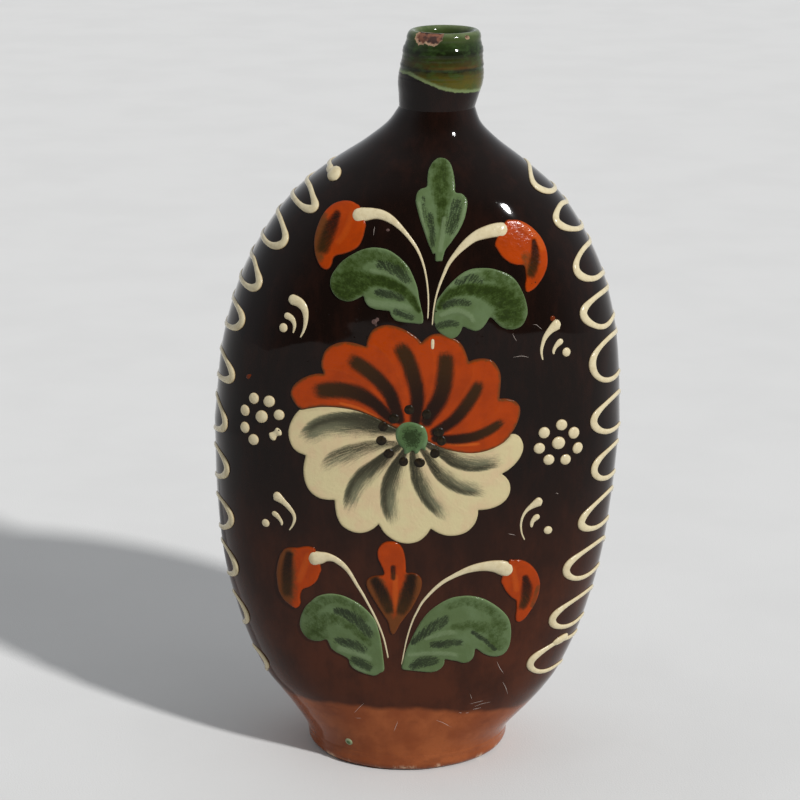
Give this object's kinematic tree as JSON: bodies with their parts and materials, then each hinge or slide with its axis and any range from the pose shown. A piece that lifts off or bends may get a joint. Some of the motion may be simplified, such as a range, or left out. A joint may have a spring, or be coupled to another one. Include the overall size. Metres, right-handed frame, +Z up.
{
  "type": "flat oval ceramic flask",
  "caption": "Glazed flat-sided pottery flask on an oval foot, with a short round neck, an open mouth and a slip-trailed flower decoration; stands upright and holds liquid.",
  "frame": {"origin": "on the ground plane, under the middle of the object's bounding box", "axes": "+Z up from the foot to the mouth, +X to the right along the flask's width when its front is looked at, the decorated front faces -Y"},
  "size_m": [0.1507, 0.0852, 0.27],
  "materials": {
    "clay": "orange-brown fired clay under a clear gloss glaze",
    "dark_glaze": "near-black brown gloss glaze, redder lower down",
    "green_glaze": "mottled olive-green gloss glaze",
    "orange_slip": "orange slip under clear gloss glaze, with dark brush streaks",
    "cream_slip": "cream slip under clear gloss glaze",
    "green_slip": "green slip under clear gloss glaze, with dark brush marks"
  },
  "bodies": {
    "root": {"foot_slab": "clay", "body_shell": "dark_glaze", "neck_collar": "green_glaze", "rosette_orange_fan": "orange_slip", "back_rosette_orange_fan": "orange_slip", "upper_bud_left": "orange_slip", "upper_bud_right": "orange_slip", "lower_bud_left": "orange_slip", "lower_bud_right": "orange_slip", "lower_trefoil": "orange_slip", "rosette_boss": "green_slip", "back_rosette_boss": "green_slip", "upper_trefoil": "green_slip", "upper_leaf_left": "green_slip", "upper_leaf_right": "green_slip", "lower_leaf_left": "green_slip", "lower_leaf_right": "green_slip", "rosette_cream_fan": "cream_slip", "back_rosette_cream_fan": "cream_slip", "upper_stem_left": "cream_slip", "upper_stem_right": "cream_slip", "lower_stem_left": "cream_slip", "lower_stem_right": "cream_slip", "comma_upper_left": "cream_slip", "small_comma_upper_left": "cream_slip", "comma_dot_upper_left": "cream_slip", "comma_lower_left": "cream_slip", "small_comma_lower_left": "cream_slip", "comma_dot_lower_left": "cream_slip", "comma_upper_right": "cream_slip", "small_comma_upper_right": "cream_slip", "comma_dot_upper_right": "cream_slip", "comma_lower_right": "cream_slip", "small_comma_lower_right": "cream_slip", "comma_dot_lower_right": "cream_slip", "dot_left_centre": "cream_slip", "dot_left_1": "cream_slip", "dot_left_2": "cream_slip", "dot_left_3": "cream_slip", "dot_left_4": "cream_slip", "dot_left_5": "cream_slip", "dot_left_6": "cream_slip", "dot_left_7": "cream_slip", "dot_right_centre": "cream_slip", "dot_right_1": "cream_slip", "dot_right_2": "cream_slip", "dot_right_3": "cream_slip", "dot_right_4": "cream_slip", "dot_right_5": "cream_slip", "dot_right_6": "cream_slip", "dot_right_7": "cream_slip", "side_trail_left": "cream_slip", "side_trail_right": "cream_slip"}
  },
  "joints": []
}
